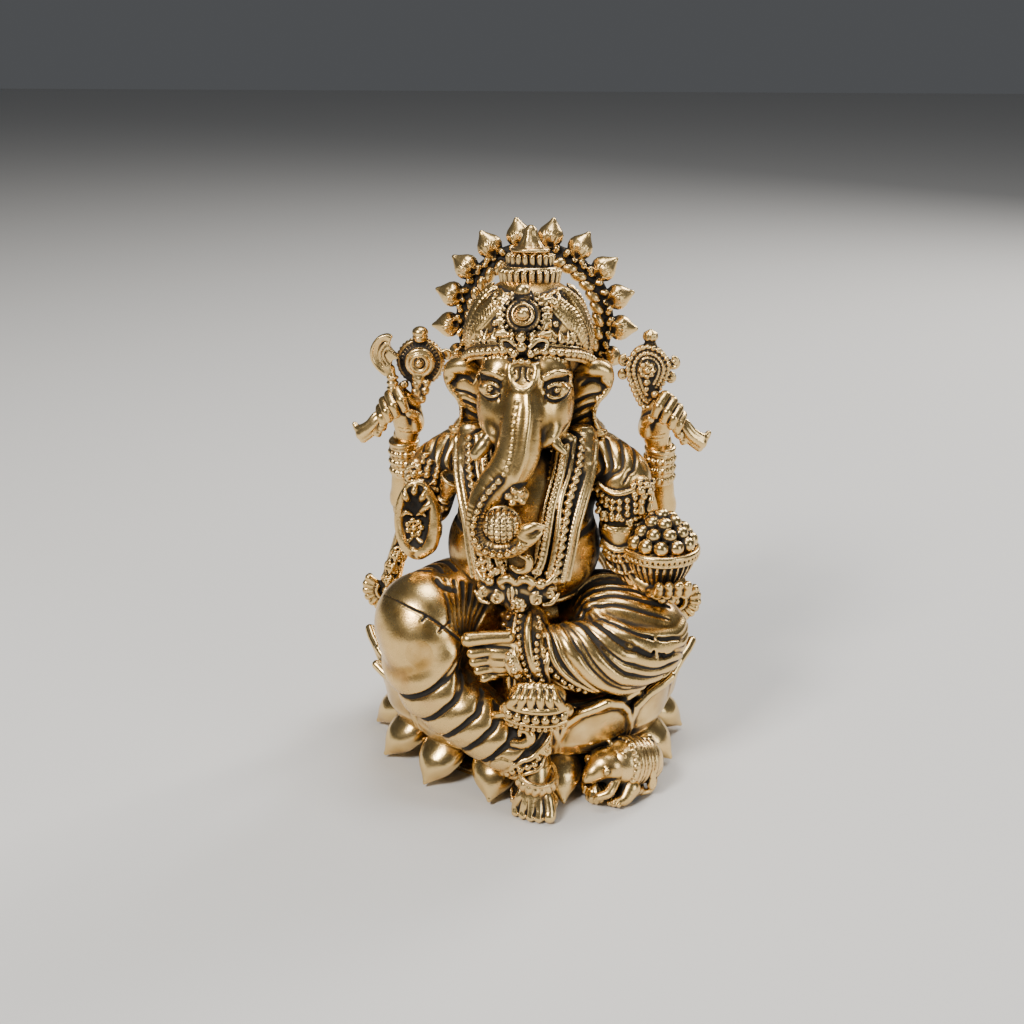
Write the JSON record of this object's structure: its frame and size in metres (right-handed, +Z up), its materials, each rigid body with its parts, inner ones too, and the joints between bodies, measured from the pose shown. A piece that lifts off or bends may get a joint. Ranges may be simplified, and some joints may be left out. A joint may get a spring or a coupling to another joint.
{
  "type": "ganesha idol",
  "caption": "Seated elephant-headed idol with a crown, a ring halo of buds and a lotus throne, in antique gold, with a bowl of sweets and a mouse.",
  "frame": {"origin": "centre of the flat underside of the base", "axes": "+Z up, the figure faces -Y, +X is the figure's left"},
  "size_m": [0.0456, 0.0465, 0.0702],
  "materials": {
    "antique_gold": "antique gold with black patina in the recesses",
    "jewel_gold": "bright antique gold on raised ornament, black patina between",
    "polished_gold": "polished gold with light wear"
  },
  "bodies": {
    "root": {"hips": "antique_gold", "right_thigh": "antique_gold", "right_shin": "antique_gold", "left_thigh": "antique_gold", "left_shin": "antique_gold", "left_foot": "antique_gold", "front_sash": "antique_gold", "sash_fan": "antique_gold", "torso": "antique_gold", "head": "antique_gold", "trunk": "antique_gold", "right_ear": "antique_gold", "left_ear": "antique_gold", "crown_dome": "antique_gold", "left_front_upper_arm": "antique_gold", "left_front_forearm": "antique_gold", "left_front_hand": "antique_gold", "right_front_upper_arm": "antique_gold", "blessing_palm": "antique_gold", "right_rear_forearm": "antique_gold", "right_rear_upper_arm": "antique_gold", "right_rear_hand": "antique_gold", "left_rear_forearm": "antique_gold", "left_rear_upper_arm": "antique_gold", "left_rear_hand": "antique_gold", "right_sash_end": "antique_gold", "left_sash_end": "antique_gold", "mouse": "antique_gold", "right_anklet": "jewel_gold", "left_anklet": "jewel_gold", "waist_cord": "jewel_gold", "garland_right": "jewel_gold", "garland_left": "jewel_gold", "garland_pendant": "jewel_gold", "modak": "jewel_gold", "crown_band": "jewel_gold", "crown_medallion": "jewel_gold", "crown_tiers": "jewel_gold", "crown_finial": "jewel_gold", "halo": "jewel_gold", "left_armlet": "jewel_gold", "sweet_bowl": "jewel_gold", "right_armlet": "jewel_gold", "hand_drum": "jewel_gold", "right_rear_bangles": "jewel_gold", "right_shaft_end": "jewel_gold", "left_rear_bangles": "jewel_gold", "left_shaft_end": "jewel_gold", "axe": "jewel_gold", "ring_boss": "jewel_gold", "conch": "jewel_gold", "mouse_saddle": "jewel_gold", "base_plate": "polished_gold", "lotus_foot": "polished_gold", "lotus_cup": "polished_gold", "right_foot": "polished_gold", "right_tusk": "polished_gold", "left_tusk": "polished_gold", "sweets": "polished_gold", "mouse_sweet": "polished_gold"}
  },
  "joints": []
}
